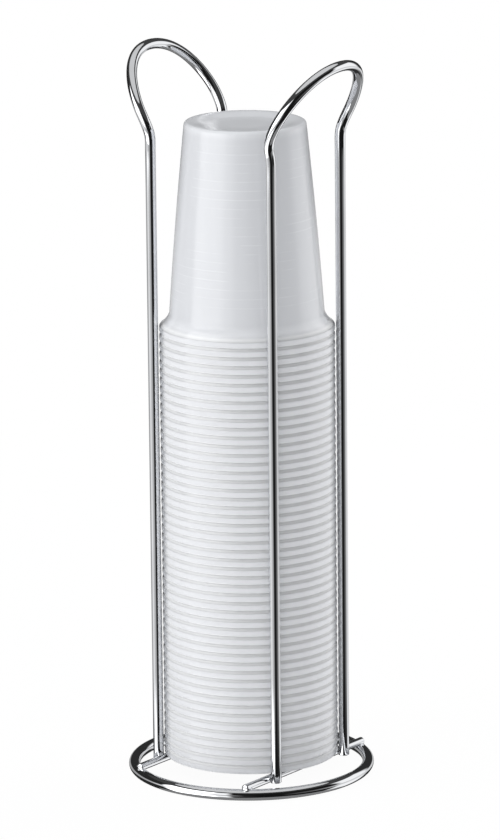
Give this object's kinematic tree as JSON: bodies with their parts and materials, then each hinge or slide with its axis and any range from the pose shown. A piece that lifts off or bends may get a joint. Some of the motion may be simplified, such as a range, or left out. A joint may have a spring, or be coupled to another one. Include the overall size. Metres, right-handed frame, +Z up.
{
  "type": "cup dispenser",
  "caption": "Free-standing chromed wire dispenser: base ring, cross wires and two tall leaning hairpin loops that hold an upside-down sleeve of nested disposable cups.",
  "frame": {"origin": "centre of the base ring on the table", "axes": "+Z up along the stack of cups, +X through the two hairpin loops, +Y along the cross wires"},
  "size_m": [0.1014, 0.1014, 0.2999],
  "materials": {
    "chrome_wire": "bright chrome plating on drawn steel wire",
    "cup_plastic": "thin translucent white polypropylene, satin"
  },
  "bodies": {
    "frame": {"base_ring": "chrome_wire", "left_cross_wire": "chrome_wire", "right_cross_wire": "chrome_wire", "left_hairpin_loop": "chrome_wire", "right_hairpin_loop": "chrome_wire"},
    "cup_stack": {"cup_01": "cup_plastic", "cup_02": "cup_plastic", "cup_03": "cup_plastic", "cup_04": "cup_plastic", "cup_05": "cup_plastic", "cup_06": "cup_plastic", "cup_07": "cup_plastic", "cup_08": "cup_plastic", "cup_09": "cup_plastic", "cup_10": "cup_plastic", "cup_11": "cup_plastic", "cup_12": "cup_plastic", "cup_13": "cup_plastic", "cup_14": "cup_plastic", "cup_15": "cup_plastic", "cup_16": "cup_plastic", "cup_17": "cup_plastic", "cup_18": "cup_plastic", "cup_19": "cup_plastic", "cup_20": "cup_plastic", "cup_21": "cup_plastic", "cup_22": "cup_plastic", "cup_23": "cup_plastic", "cup_24": "cup_plastic", "cup_25": "cup_plastic", "cup_26": "cup_plastic", "cup_27": "cup_plastic", "cup_28": "cup_plastic", "cup_29": "cup_plastic", "cup_30": "cup_plastic", "cup_31": "cup_plastic", "cup_32": "cup_plastic", "cup_33": "cup_plastic", "cup_34": "cup_plastic", "cup_35": "cup_plastic", "cup_36": "cup_plastic", "cup_37": "cup_plastic", "cup_38": "cup_plastic", "cup_39": "cup_plastic", "cup_40": "cup_plastic", "cup_41": "cup_plastic", "cup_42": "cup_plastic", "cup_43": "cup_plastic", "cup_44": "cup_plastic", "cup_45": "cup_plastic"},
    "cup_46": {"cup_46": "cup_plastic"},
    "cup_47": {"cup_47": "cup_plastic"},
    "cup_48": {"cup_48": "cup_plastic"},
    "cup_49": {"cup_49": "cup_plastic"},
    "cup_50": {"cup_50": "cup_plastic"}
  },
  "joints": [
    {"name": "cup_stack_lift", "type": "slide", "parent": "frame", "child": "cup_stack", "axis": [0, 0, 1], "range_m": [0, 0.3]},
    {"name": "cup_46_lift", "type": "slide", "parent": "cup_stack", "child": "cup_46", "axis": [0, 0, 1], "range_m": [0, 0.14]},
    {"name": "cup_47_lift", "type": "slide", "parent": "cup_46", "child": "cup_47", "axis": [0, 0, 1], "range_m": [0, 0.14]},
    {"name": "cup_48_lift", "type": "slide", "parent": "cup_47", "child": "cup_48", "axis": [0, 0, 1], "range_m": [0, 0.14]},
    {"name": "cup_49_lift", "type": "slide", "parent": "cup_48", "child": "cup_49", "axis": [0, 0, 1], "range_m": [0, 0.14]},
    {"name": "cup_50_lift", "type": "slide", "parent": "cup_49", "child": "cup_50", "axis": [0, 0, 1], "range_m": [0, 0.14]}
  ]
}
